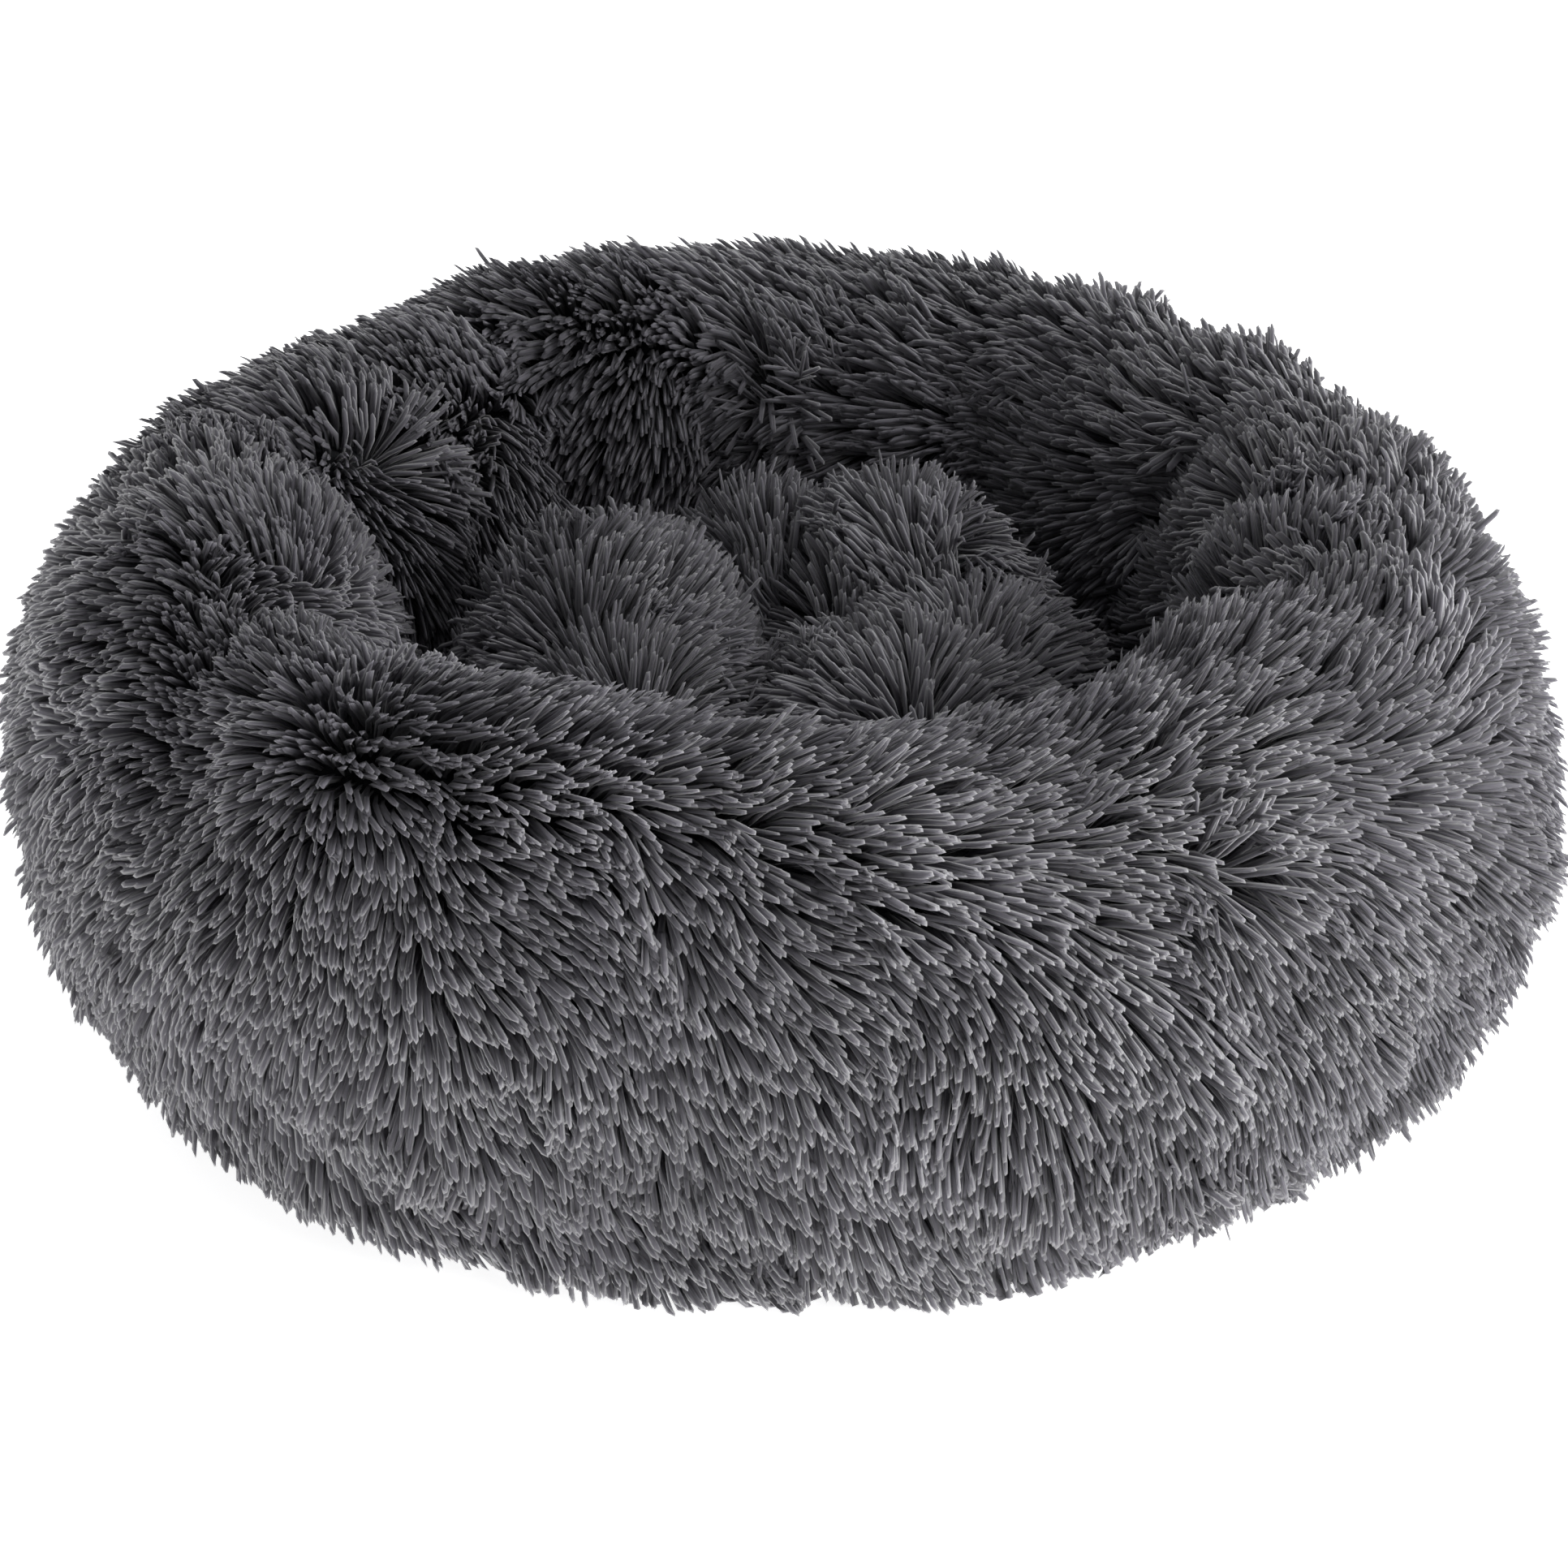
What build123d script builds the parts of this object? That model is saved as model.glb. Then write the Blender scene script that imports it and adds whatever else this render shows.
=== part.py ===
"""A round pet bed of long-pile fur cloth: a stuffed ring round a loose tufted cushion.

Millimetres. The origin is on the floor under the middle of the bed, +Z is up and
the front of the bed is on -Y. Angles are degrees about +Z, counted from +X.
"""

import os
from math import degrees, sqrt

from build123d import *

# ---- the stuffed ring ----
outer_diameter = 600.0  # over the standing pile
overall_height = 212.0
ring_width = 160.0  # of the ring's section, over the pile
ring_settle = 16.0  # how much of the section's round underside is pressed flat
pile_length = 20.0  # the pile as it stands, where nothing presses on it
backing_thickness = 2.0
lining_thickness = 1.0
lining_gap = 0.5  # cover to lining, and lining to filling
lining_floor = 10.0  # the lining's flat underside, above the zip
ring_seam_angle = -68.0  # where the two fur panels meet, and again half a turn on

# ---- the base ----
base_thickness = 1.5
base_rim_height = 4.5  # underside of the base's edge, which the ring lifts off the floor
base_seam_offset = 16.0  # the base seam, out from the middle of the ring's section
base_rise_run = 12.0  # width of the slope from the flat base up to its edge
base_rim_width = 32.0
wadding_thickness = 18.0
wadding_gap = 0.3
wadding_margin = 3.0  # wadding short of the floor panel's edge, all round
floor_thickness = 1.5
floor_margin = 1.5  # floor panel short of the ring cover's inner backing

# ---- the zip, half way round the back of the base ----
zip_start_angle = -6.0
zip_sweep = 180.0
tape_thickness = 0.8
tape_overlap = 8.0  # of the inner tape on the base cloth
coil_width = 2.4
coil_height = 2.4
coil_inset_angle = 4.0  # from the end of the tape to the end of the coil
bridge_thickness = 1.0
slider_clearance = 0.3
slider_height_gap = 0.2
slider_plate = 0.9
slider_width = 10.0
slider_length = 10.0
slider_lip = 0.8
zip_offset = 2.0  # the zip's centre line, out from the middle of the ring's section
stop_length = 4.0
stop_gap = 1.0
bail_radius = 0.7
bail_clearance = 0.06
ear_thickness = 1.0
ear_length = 2.6
pull_length = 22.0
pull_width = 5.0
pull_thickness = 1.2
pull_eye_radius = 1.4
pull_eye_width = 3.4
pull_eye_gap = 0.15  # on each side, between the eye and the ears
pull_end_radius = 2.2

# ---- the label in the base seam ----
label_angle = 200.0
label_length = 30.0
label_reach = 20.0
label_thickness = 0.6
label_inset = 4.0

# ---- the loose cushion ----
cushion_gap = 3.0  # to the narrowest part of the ring, all round
cushion_rest_gap = 0.5  # above the floor panel
cushion_thickness = 116.0  # without the pile
cushion_dimple = 18.0  # how deep the tie draws the middle of the top down
cushion_flat = 7.0  # radius of the level patch that the tie's head draws down
cushion_edge_radius = 45.0
cushion_shoulder = 42.0  # height of the round between the upright side and the top
cushion_crest_share = 0.48  # where the top is highest, between the middle and the edge
cushion_seam_height = 38.0  # fur top to cloth underside, above the cushion's own base
cushion_cloth = 1.5
cushion_filling_gap = 0.4
tie_radius = 1.2
tie_hole_clearance = 0.3
tie_head_radius = 4.0
tie_head_thickness = 1.0
patch_radius = 12.0
patch_thickness = 2.0
patch_recess = 4.0
patch_slope_run = 24.0

# ---- worked out from the sizes above ----
cover_thickness = pile_length + backing_thickness
section_half_width = ring_width / 2
section_half_height = (overall_height + ring_settle) / 2
section_radius = outer_diameter / 2 - section_half_width
section_height = section_half_height - ring_settle
inner_radius = section_radius - section_half_width
seam_radius = section_radius + base_seam_offset
floor_bottom = base_thickness + wadding_gap + wadding_thickness + wadding_gap
floor_top = floor_bottom + floor_thickness

zip_radius = section_radius + zip_offset
coil_gap = bridge_thickness / 2 + slider_clearance
tape_bottom = base_rim_height + base_thickness
coil_bottom = tape_bottom + tape_thickness / 2 - coil_height / 2
coil_top = coil_bottom + coil_height
tape_inner_edge = zip_radius - coil_gap - coil_width
tape_outer_edge = zip_radius + coil_gap + coil_width
zip_inner_seam = tape_inner_edge - base_rim_width / 4
slider_bottom = coil_bottom - slider_height_gap - slider_plate
bail_height = slider_bottom - pull_eye_radius - 2 * pull_eye_gap

cushion_radius = inner_radius - cushion_gap
cushion_base = floor_top + cushion_rest_gap
cushion_backing_radius = cushion_radius - pile_length
far = outer_diameter


def arc_degrees(length, radius):
    """The angle that a length takes up on a circle."""
    return degrees(length / radius)


def area(radius_from, radius_to, height_from, height_to):
    """A rectangle in the half plane of radius and height."""
    width = radius_to - radius_from
    height = height_to - height_from
    middle = Pos(radius_from + width / 2, height_from + height / 2)
    return Plane.XZ * middle * Rectangle(width, height)


def ring_area(inset, lowest):
    """The ring's section, smaller all round by inset and cut off level below."""
    half_width = section_half_width - inset
    half_height = section_half_height - inset
    oval = Plane.XZ * Pos(section_radius, section_height) * Ellipse(half_width, half_height)
    return oval & area(0, far, lowest, far)


def turned(face, start=0.0, sweep=360.0):
    """The face swept about the bed's middle, from one angle through another."""
    return Rot(0, 0, start) * revolve(face, Axis.Z, sweep)


def sector(radius_from, radius_to, height_from, height_to, start, sweep):
    """A flat arc-shaped bar."""
    return turned(area(radius_from, radius_to, height_from, height_to), start, sweep)


def save(solid, node, colour):
    """Write one sub-part under its own name."""
    solid.label = node
    solid.color = Color(*colour)
    export_step(solid, os.path.join("parts", node + ".step"))


# ---- ring ----


def ring_cover(start):
    """Half of the fur cover, from the base seam over the top to the floor panel."""
    section = ring_area(0, 0) - ring_area(cover_thickness, 0)
    section -= area(0, seam_radius, -ring_settle, floor_top)
    return turned(section, start, 180.0)


def ring_lining():
    """The tube of thin cloth that keeps the filling together when the cover is off."""
    outside = ring_area(cover_thickness + lining_gap, lining_floor)
    inset = cover_thickness + lining_gap + lining_thickness
    inside = ring_area(inset, lining_floor + lining_thickness)
    return turned(outside - inside)


def ring_filling():
    """The loose fibre that fills the lining."""
    inset = cover_thickness + lining_gap + lining_thickness + lining_gap
    return turned(ring_area(inset, lining_floor + lining_thickness + lining_gap))


# ---- base ----


def base_cloth():
    """A dished disc: flat on the floor, its edge lifted, cut back where the zip is."""
    rim_start = seam_radius - base_rim_width
    flat_end = rim_start - base_rise_run
    rim_top = base_rim_height + base_thickness
    outline = Polyline(
        (0, 0),
        (flat_end, 0),
        (rim_start, base_rim_height),
        (seam_radius, base_rim_height),
        (seam_radius, rim_top),
        (rim_start, rim_top),
        (flat_end, base_thickness),
        (0, base_thickness),
        close=True,
    )
    disc = turned(Plane.XZ * make_face(outline))
    return disc - sector(zip_inner_seam, far, 0, rim_top, zip_start_angle, zip_sweep)


def base_wadding():
    """The thin pad between the base cloth and the floor panel."""
    bottom = base_thickness + wadding_gap
    return turned(area(0, floor_radius() - wadding_margin, bottom, bottom + wadding_thickness))


def floor_radius():
    """How far out the floor panel reaches: just short of the cover's backing."""
    half_width = section_half_width - cover_thickness
    half_height = section_half_height - cover_thickness
    rise = (section_height - floor_top) / half_height
    return section_radius - half_width * sqrt(1 - rise * rise) - floor_margin


def floor_panel():
    """The plain cloth under the cushion, sewn to the inner edge of the ring's cover."""
    return turned(area(0, floor_radius(), floor_bottom, floor_top))


def care_label():
    """A blank tab sewn under the edge of the base."""
    outer = seam_radius - label_inset
    sweep = arc_degrees(label_length, outer)
    low = base_rim_height - label_thickness
    return sector(outer - label_reach, outer, low, base_rim_height, label_angle, sweep)


# ---- zip ----


def zip_tape(radius_from, radius_to):
    """A woven tape, level, along the whole zip."""
    top = tape_bottom + tape_thickness
    return sector(radius_from, radius_to, tape_bottom, top, zip_start_angle, zip_sweep)


def zip_coil(radius_from):
    """One row of teeth, as a plain bar."""
    start = zip_start_angle + coil_inset_angle
    sweep = zip_sweep - 2 * coil_inset_angle
    return sector(radius_from, radius_from + coil_width, coil_bottom, coil_top, start, sweep)


def zip_closed_stops():
    """Two small clips past the end of the teeth, one on each tape."""
    sweep = arc_degrees(stop_length, zip_radius)
    start = zip_start_angle + coil_inset_angle - arc_degrees(stop_gap, zip_radius) - sweep
    inner = sector(tape_inner_edge, zip_radius - coil_gap, coil_bottom, coil_top, start, sweep)
    outer = sector(zip_radius + coil_gap, tape_outer_edge, coil_bottom, coil_top, start, sweep)
    return Compound([inner, outer])


def zip_open_stop():
    """One wider clip that joins both tapes at the far end."""
    sweep = arc_degrees(stop_length, zip_radius)
    end = zip_start_angle + zip_sweep - coil_inset_angle
    start = end + arc_degrees(stop_gap, zip_radius)
    return sector(tape_inner_edge, tape_outer_edge, coil_bottom, coil_top, start, sweep)


def slider_body():
    """Two plates joined by a thin bridge that runs between the rows of teeth."""
    half = slider_width / 2
    inner = zip_radius - half
    outer = zip_radius + half
    lower_top = slider_bottom + slider_plate
    upper_bottom = coil_top + slider_height_gap
    upper_top = upper_bottom + slider_plate
    lip_low = tape_bottom - slider_height_gap
    lip_high = tape_bottom + tape_thickness + slider_height_gap
    section = area(inner, outer, slider_bottom, lower_top)
    section += area(inner, outer, upper_bottom, upper_top)
    bridge_inner = zip_radius - bridge_thickness / 2
    section += area(bridge_inner, bridge_inner + bridge_thickness, lower_top, upper_bottom)
    for edge in (inner, outer - slider_lip):
        section += area(edge, edge + slider_lip, lower_top, lip_low)
        section += area(edge, edge + slider_lip, lip_high, upper_bottom)
    sweep = arc_degrees(slider_length, zip_radius)
    body = turned(section, -sweep / 2, sweep)
    ear_middle = pull_eye_width / 2 + pull_eye_gap + ear_thickness / 2
    ear_drop = slider_bottom - bail_height + bail_radius
    for side in (-1, 1):
        place = Pos(zip_radius + side * ear_middle, 0, slider_bottom - ear_drop / 2)
        body += place * Box(ear_thickness, ear_length, ear_drop)
    bar = Cylinder(bail_radius, 2 * ear_middle)
    return body + Pos(zip_radius, 0, bail_height) * Rot(0, 90, 0) * bar


def pull_tab():
    """The flat tab that hangs on the slider's bar, folded along the zip."""
    middle = pull_eye_radius + pull_length / 2
    tab = Box(pull_width, pull_length, pull_thickness)
    tab = fillet(tab.edges().filter_by(Axis.Z).group_by(Axis.Y)[-1], pull_end_radius)
    neck_length = 2 * pull_eye_radius
    neck = Pos(0, neck_length / 2, 0) * Box(pull_eye_width, neck_length, pull_thickness)
    eye = Rot(0, 90, 0) * Cylinder(pull_eye_radius, pull_eye_width)
    hole = Rot(0, 90, 0) * Cylinder(bail_radius + bail_clearance, 2 * pull_width)
    gap = 2 * pull_eye_gap
    tab = Pos(0, middle + ear_length / 2 + gap, 0) * tab
    link_length = ear_length + gap
    link = Pos(0, pull_eye_radius + link_length / 2, 0)
    link = link * Box(pull_eye_width, link_length, pull_thickness)
    return Pos(zip_radius, 0, bail_height) * (tab + neck + link + eye - hole)


# ---- cushion ----


def cushion_area(swell):
    """Half of the cushion's section: flat below, round at the side, drawn in on top."""
    bottom = cushion_base - swell
    radius = cushion_backing_radius + swell
    top = cushion_base + cushion_thickness + swell
    middle = top - cushion_dimple
    recess = bottom + patch_recess
    slope_end = patch_radius + patch_slope_run
    edge = min(cushion_edge_radius, radius - slope_end)
    crest = cushion_backing_radius * cushion_crest_share
    corner_top = bottom + edge
    side_top = top - cushion_shoulder
    under = Polyline(
        (0, middle),
        (0, recess),
        (patch_radius + 2 * cushion_cloth, recess),
        (slope_end, bottom),
        (radius - edge, bottom),
    )
    corner = CenterArc((radius - edge, corner_top), edge, -90, 90)
    side = Line((radius, corner_top), (radius, side_top))
    shoulder = EllipticalCenterArc(
        (crest, side_top), radius - crest, cushion_shoulder, start_angle=0, arc_size=90
    )
    half_run = (crest - cushion_flat) / 2
    bend = (crest - half_run, top), (cushion_flat + half_run, middle)
    inward = Bezier((crest, top), *bend, (cushion_flat, middle))
    flat = Line((cushion_flat, middle), (0, middle))
    return Plane.XZ * make_face([under, corner, side, shoulder, inward, flat])


def cushion_top_cover():
    """The fur top, pile included, down to the seam."""
    seam = cushion_base + cushion_seam_height
    cover = turned(cushion_area(pile_length) - cushion_area(0))
    cover &= sector(0, far, seam, far, 0, 360)
    top = cushion_base + cushion_thickness - cushion_dimple
    head = Cylinder(tie_head_radius + tie_hole_clearance, 2 * tie_head_thickness)
    return cover - Pos(0, 0, top + tie_hole_clearance) * head


def cushion_bottom_cover():
    """The plain cloth underside, up to the seam, with the tie's hole."""
    seam = cushion_base + cushion_seam_height
    cover = turned(cushion_area(0) - cushion_area(-cushion_cloth))
    cover &= sector(0, far, 0, seam, 0, 360)
    return cover - tie_hole()


def cushion_filling():
    """The fibre inside the cushion."""
    return turned(cushion_area(-cushion_cloth - cushion_filling_gap)) - tie_hole()


def tie_hole():
    """The way that the tie takes through the cushion."""
    return sector(0, tie_radius + tie_hole_clearance, 0, far, 0, 360)


def cushion_tie():
    """The waxed thread that draws the middle down, with its stitched head on top."""
    low = cushion_base + patch_recess
    high = cushion_base + cushion_thickness - cushion_dimple
    head_bottom = high - cushion_filling_gap
    thread = sector(0, tie_radius, low, head_bottom, 0, 360)
    head = sector(0, tie_head_radius, head_bottom, head_bottom + tie_head_thickness, 0, 360)
    return thread + head


def cushion_tie_patch():
    """The felt disc under the cushion that the thread is tied to."""
    top = cushion_base + patch_recess
    return sector(0, patch_radius, top - patch_thickness, top, 0, 360)


def main():
    os.makedirs("parts", exist_ok=True)
    fur = (0.23, 0.24, 0.27)
    black_cloth = (0.07, 0.07, 0.08)
    white_fibre = (0.9, 0.9, 0.88)
    metal = (0.55, 0.55, 0.56)

    save(ring_cover(ring_seam_angle), "ring_cover_right", fur)
    save(ring_cover(ring_seam_angle + 180.0), "ring_cover_left", fur)
    save(ring_lining(), "ring_lining", white_fibre)
    save(ring_filling(), "ring_filling", white_fibre)

    save(base_cloth(), "base_cloth", black_cloth)
    save(base_wadding(), "base_wadding", white_fibre)
    save(floor_panel(), "floor_panel", black_cloth)
    save(care_label(), "care_label", white_fibre)

    save(zip_tape(zip_inner_seam - tape_overlap, tape_inner_edge), "zip_tape_inner", black_cloth)
    save(zip_tape(tape_outer_edge, seam_radius), "zip_tape_outer", black_cloth)
    save(zip_coil(tape_inner_edge), "zip_coil_inner", black_cloth)
    save(zip_coil(zip_radius + coil_gap), "zip_coil_outer", black_cloth)
    save(zip_closed_stops(), "zip_closed_stops", metal)
    save(zip_open_stop(), "zip_open_stop", metal)
    save(slider_body(), "zip_slider_body", metal)
    save(pull_tab(), "zip_pull_tab", metal)

    save(cushion_top_cover(), "cushion_top_cover", fur)
    save(cushion_bottom_cover(), "cushion_bottom_cover", black_cloth)
    save(cushion_filling(), "cushion_filling", white_fibre)
    save(cushion_tie(), "cushion_tie", black_cloth)
    save(cushion_tie_patch(), "cushion_tie_patch", black_cloth)


main()
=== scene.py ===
"""A round pet bed of long-pile plush: a stuffed ring, a loose tufted cushion, a zipped base.

Metres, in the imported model's frame: the floor is z = 0, the ring's axis is Z, the front is -Y.
"""

import math

import bmesh
import bpy
import numpy as np
from mathutils import Matrix, Vector
from mathutils.bvhtree import BVHTree


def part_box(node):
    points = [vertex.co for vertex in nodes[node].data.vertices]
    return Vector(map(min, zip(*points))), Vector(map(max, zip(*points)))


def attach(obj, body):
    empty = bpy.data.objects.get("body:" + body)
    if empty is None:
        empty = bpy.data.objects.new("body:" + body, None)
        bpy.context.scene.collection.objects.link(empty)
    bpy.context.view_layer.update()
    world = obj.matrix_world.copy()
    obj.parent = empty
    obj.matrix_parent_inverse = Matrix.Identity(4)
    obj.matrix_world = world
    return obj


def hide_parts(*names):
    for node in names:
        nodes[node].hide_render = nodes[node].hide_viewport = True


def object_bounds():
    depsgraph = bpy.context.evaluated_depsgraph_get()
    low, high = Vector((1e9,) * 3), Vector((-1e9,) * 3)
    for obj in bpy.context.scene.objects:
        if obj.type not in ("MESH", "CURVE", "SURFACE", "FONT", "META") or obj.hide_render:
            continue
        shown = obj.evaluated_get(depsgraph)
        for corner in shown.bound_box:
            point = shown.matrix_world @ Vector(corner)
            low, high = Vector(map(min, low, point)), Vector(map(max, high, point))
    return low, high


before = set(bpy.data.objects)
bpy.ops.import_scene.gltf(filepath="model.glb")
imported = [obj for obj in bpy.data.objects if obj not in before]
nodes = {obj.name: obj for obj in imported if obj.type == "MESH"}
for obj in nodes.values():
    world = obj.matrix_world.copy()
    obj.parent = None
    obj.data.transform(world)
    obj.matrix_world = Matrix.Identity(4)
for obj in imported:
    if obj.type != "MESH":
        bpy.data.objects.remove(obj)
cad_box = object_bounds()

# ---------------------------------------------------------------- studio
# The bed stands on a pale floor that runs out of sight. A large soft light stands
# low at the right, with weaker ones above, in front and behind at the left.

floor_size = 12.0
bm = bmesh.new()
bmesh.ops.create_grid(bm, x_segments=1, y_segments=1, size=floor_size)
floor = bpy.data.objects.new("studio_floor", bpy.data.meshes.new("studio_floor"))
bm.to_mesh(floor.data)
bm.free()
bpy.context.scene.collection.objects.link(floor)

floor_paint = bpy.data.materials.new("pale_floor")
floor_paint.use_nodes = True
paint = floor_paint.node_tree.nodes["Principled BSDF"]
paint.inputs["Base Color"].default_value = (0.9, 0.9, 0.9, 1)
paint.inputs["Roughness"].default_value = 0.9
paint.inputs["Emission Color"].default_value = (1, 1, 1, 1)
paint.inputs["Emission Strength"].default_value = 0.86
floor.data.materials.append(floor_paint)

sky = bpy.data.worlds.new("studio_air")
sky.use_nodes = True
# the sky lights the bed weakly, and is white to the camera so that the floor's end doesn't show
sky_light = 0.25
sky_seen = 1.1
air = sky.node_tree.nodes["Background"]
air.inputs["Color"].default_value = (0.97, 0.985, 1.0, 1)
ray = sky.node_tree.nodes.new("ShaderNodeLightPath")
level = sky.node_tree.nodes.new("ShaderNodeMapRange")
level.inputs["To Min"].default_value = sky_light
level.inputs["To Max"].default_value = sky_seen
sky.node_tree.links.new(ray.outputs["Is Camera Ray"], level.inputs["Value"])
sky.node_tree.links.new(level.outputs["Result"], air.inputs["Strength"])
bpy.context.scene.world = sky
bpy.context.scene.view_settings.view_transform = "Standard"


light_aim = Vector((0.0, 0.0, 0.1))


def soft_light(name, place, width, watts):
    """A square soft box that faces the bed."""
    lamp = bpy.data.lights.new(name, "AREA")
    lamp.size = width
    lamp.energy = watts
    box = bpy.data.objects.new(name, lamp)
    box.location = place
    box.rotation_euler = (light_aim - Vector(place)).to_track_quat("-Z", "Y").to_euler()
    bpy.context.scene.collection.objects.link(box)


soft_light("key_softbox", (2.2, -0.9, 0.85), 2.2, 60)
soft_light("top_softbox", (0.9, -0.1, 2.3), 1.6, 8)
soft_light("front_fill", (-0.5, -2.6, 0.15), 0.8, 7)
soft_light("back_fill", (-1.6, 2.0, 0.5), 1.0, 14)

camera_aim = Vector((0.0016, 0.0, 0.0717))
camera_distance = 1.6
camera_elevation = math.radians(27.9)
camera = bpy.data.objects.new("camera", bpy.data.cameras.new("camera"))
camera.data.lens = 91.8
camera.data.sensor_width = 36.0
back_off = Vector((0.0, -math.cos(camera_elevation), math.sin(camera_elevation)))
camera.location = camera_aim + camera_distance * back_off
camera.rotation_euler = (-back_off).to_track_quat("-Z", "Y").to_euler()
bpy.context.scene.collection.objects.link(camera)
bpy.context.scene.camera = camera

# ---------------------------------------------------------------- ring cover
# The ring's skin is a strip of knitted backing in two halves, sewn end to end,
# gathered at both edges and stuffed until it stands round. It carries the pile.

pile_length = 0.020
cover_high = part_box("ring_cover_right")[1]
ring_half_width = 0.080
ring_half_height = 0.114
ring_radius = cad_box[1][0] - ring_half_width
ring_centre_height = cover_high[2] - ring_half_height
skin_half_width = ring_half_width - pile_length
skin_half_height = ring_half_height - pile_length
base_seam_radius = ring_radius + 0.016
floor_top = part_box("floor_panel")[1][2]
seam_angle = math.radians(-68.0)

# the gathers: azimuth and half width in degrees, depth in metres, how far each
# runs over the section, from -1 at the inner wall to +1 at the outer, and its slant
gathers = [
    (-24, 8, 0.013, 0.1, -9),
    (0, 7, 0.009, 0.2, -8),
    (22, 9, 0.014, -0.4, -5),
    (63, 8, 0.018, -0.6, 6),
    (98, 9, 0.011, -0.6, -5),
    (127, 9, 0.014, -0.4, 4),
    (163, 8, 0.016, -0.1, -4),
    (214, 10, 0.020, 0.5, 3),
    (262, 8, 0.004, -0.6, 0),
    (302, 9, 0.006, -0.5, 0),
]
# where the stuffing is uneven: azimuth and half width in degrees, outward and upward in metres
swellings = [
    (-98, 21, -0.019, 0.0),
    (-70, 24, 0.0, -0.009),
    (-27, 18, 0.009, -0.003),
    (44, 17, -0.007, -0.002),
    (107, 15, 0.0, 0.008),
    (192, 16, 0.0, 0.005),
]


def turn_gap(a, b):
    """The angle from b to a, between minus and plus half a turn."""
    return (a - b + np.pi) % (2 * np.pi) - np.pi


def ring_points(azimuth, around, inset=0.0):
    """Points of the ring's section, drawn in at the gathers, as arrays of azimuth and section angle."""
    out = np.cos(around)
    up = np.sin(around)
    drawn = 0.0 * azimuth * around
    for middle, half_width, depth, side, slant in gathers:
        gap = (np.degrees(turn_gap(azimuth, math.radians(middle))) - slant * out) / half_width
        reach = 1 / (1 + np.exp(5 * (out - side - 0.2)))
        drawn = drawn + depth * np.exp(-gap * gap) * reach * np.clip(up + 0.9, 0, 1)
    radius = ring_radius + (skin_half_width - inset - drawn) * out
    height = ring_centre_height + (skin_half_height - inset - 0.75 * drawn) * up
    for middle, half_width, outward, upward in swellings:
        gap = np.degrees(turn_gap(azimuth, math.radians(middle))) / half_width
        share = np.exp(-gap * gap)
        above_seam = np.clip((up + 0.96) / 0.3, 0, 1)
        radius = radius + outward * share * np.clip(out + 0.2, 0, 1) * above_seam
        height = height + upward * share * np.clip(up + 0.3, 0, 1)
    return np.stack([radius * np.cos(azimuth), radius * np.sin(azimuth), height], -1)


def show(bm, name):
    """Makes the finished mesh an object of that name, with smooth faces."""
    piece = bpy.data.objects.new(name, bpy.data.meshes.new(name))
    for face in bm.faces:
        face.smooth = True
    bm.to_mesh(piece.data)
    bm.free()
    bpy.context.scene.collection.objects.link(piece)
    return piece


tube_reach = 4.0
underside_open = (-0.56, 0.25)


def ring_tube(steps, section_points, inset, gap=None):
    """The ring's tube at that inset. Its underside is left open between the two limits in gap."""
    bm = bmesh.new()
    bmesh.ops.create_circle(bm, segments=section_points, radius=1.0)
    bmesh.ops.rotate(bm, verts=bm.verts, matrix=Matrix.Rotation(math.pi / 2, 3, "X"))
    bmesh.ops.translate(bm, verts=bm.verts, vec=(tube_reach, 0.0, 0.0))
    if gap is not None:
        under = [v for v in bm.verts if v.co.z < 0 and gap[0] < v.co.x - tube_reach < gap[1]]
        bmesh.ops.delete(bm, geom=under, context="VERTS")
    section = bm.verts[:] + bm.edges[:]
    turn = {"axis": (0, 0, 1), "cent": (0, 0, 0), "steps": steps, "angle": 2 * math.pi}
    bmesh.ops.spin(bm, geom=section, use_merge=True, **turn)
    place = np.array([v.co for v in bm.verts])
    azimuth = np.arctan2(place[:, 1], place[:, 0])
    around = np.arctan2(place[:, 2], np.hypot(place[:, 0], place[:, 1]) - tube_reach)
    for v, point in zip(bm.verts, ring_points(azimuth, around, inset)):
        v.co = point
    bmesh.ops.recalc_face_normals(bm, faces=bm.faces)
    return bm


stuffing_steps = 20
stuffing_most = 0.005


def stuff(piece, sewn, most):
    """Swells a skin against what is sewn down, and moves no point further than most."""
    before = np.empty(len(piece.data.vertices) * 3)
    piece.data.vertices.foreach_get("co", before)
    group = piece.vertex_groups.new(name="sewn")
    for index, weight in enumerate(sewn):
        if weight > 0:
            group.add([index], float(weight), "REPLACE")
    cloth = piece.modifiers.new("stuffing", "CLOTH")
    cloth.settings.vertex_group_mass = "sewn"
    cloth.settings.tension_stiffness = 15
    cloth.settings.compression_stiffness = 15
    cloth.settings.bending_stiffness = 0.5
    cloth.settings.use_pressure = True
    cloth.settings.uniform_pressure_force = 4.0
    cloth.settings.effector_weights.gravity = 0
    for step in range(1, stuffing_steps + 1):
        bpy.context.scene.frame_set(step)
    swollen = piece.evaluated_get(bpy.context.evaluated_depsgraph_get()).to_mesh()
    after = np.empty_like(before)
    swollen.vertices.foreach_get("co", after)
    move = (after - before).reshape(-1, 3)
    size = np.linalg.norm(move, axis=1, keepdims=True)
    move *= np.minimum(1.0, most / np.maximum(size, 1e-9))
    piece.modifiers.remove(cloth)
    piece.vertex_groups.remove(group)
    piece.data.vertices.foreach_set("co", (before.reshape(-1, 3) + move).ravel())
    piece.data.update()
    bpy.context.scene.frame_set(1)


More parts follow.
